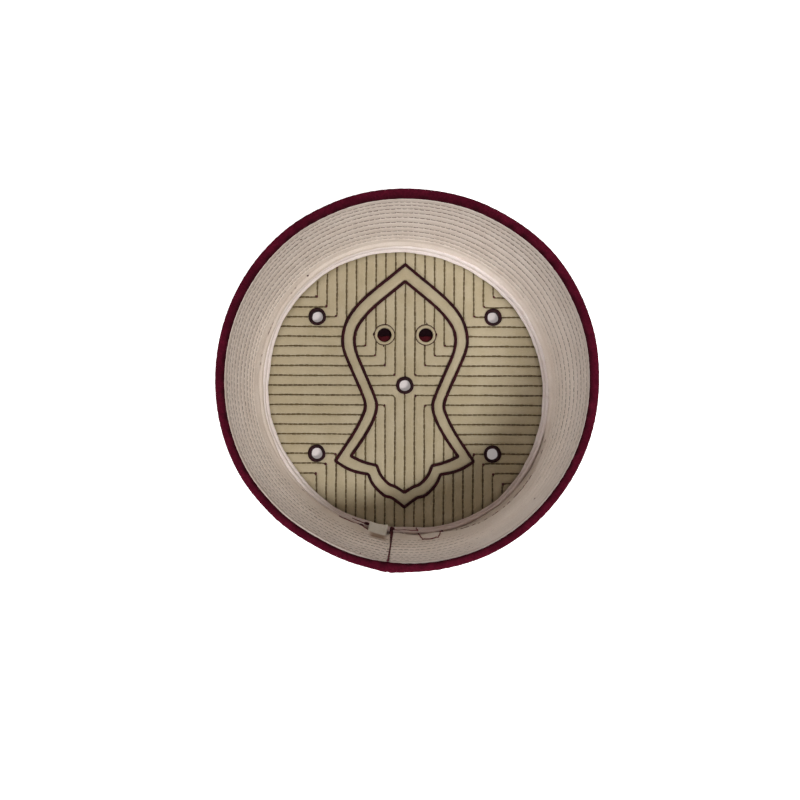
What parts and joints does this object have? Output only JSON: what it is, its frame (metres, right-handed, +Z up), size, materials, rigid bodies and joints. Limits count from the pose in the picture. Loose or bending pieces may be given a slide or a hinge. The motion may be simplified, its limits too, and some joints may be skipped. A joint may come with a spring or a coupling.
{
  "type": "turban cap",
  "caption": "Stiff round cloth cap, the base a turban is wound on, resting on its crown with the quilted lining and stitched crown ornament showing.",
  "frame": {"origin": "on the surface the cap lies on, under the middle of its outline, with the crown's outer face at z = 0", "axes": "+Z up through the head opening, which faces up as the cap lies on its crown; -Y towards the back seam; +X to the right in the picture"},
  "size_m": [0.1896, 0.1896, 0.084],
  "materials": {
    "maroon_cloth": "matte felted wool",
    "side_lining_cloth": "matte quilted cotton",
    "crown_lining_cloth": "matte starched cotton",
    "seam_roll_cloth": "matte cotton",
    "outline_thread": "corded thread with a low sheen",
    "tag_cloth": "woven tape"
  },
  "bodies": {
    "root": {"side_cloth": "maroon_cloth", "side_lining": "side_lining_cloth", "crown_cloth": "maroon_cloth", "crown_lining": "crown_lining_cloth", "crown_seam_roll": "seam_roll_cloth", "side_seam_roll": "seam_roll_cloth", "eyelet_1": "outline_thread", "eyelet_2": "outline_thread", "eyelet_3": "outline_thread", "eyelet_4": "outline_thread", "eyelet_5": "outline_thread", "sandal_outline_outer": "outline_thread", "sandal_outline_inner": "outline_thread", "size_tag": "tag_cloth"}
  },
  "joints": []
}
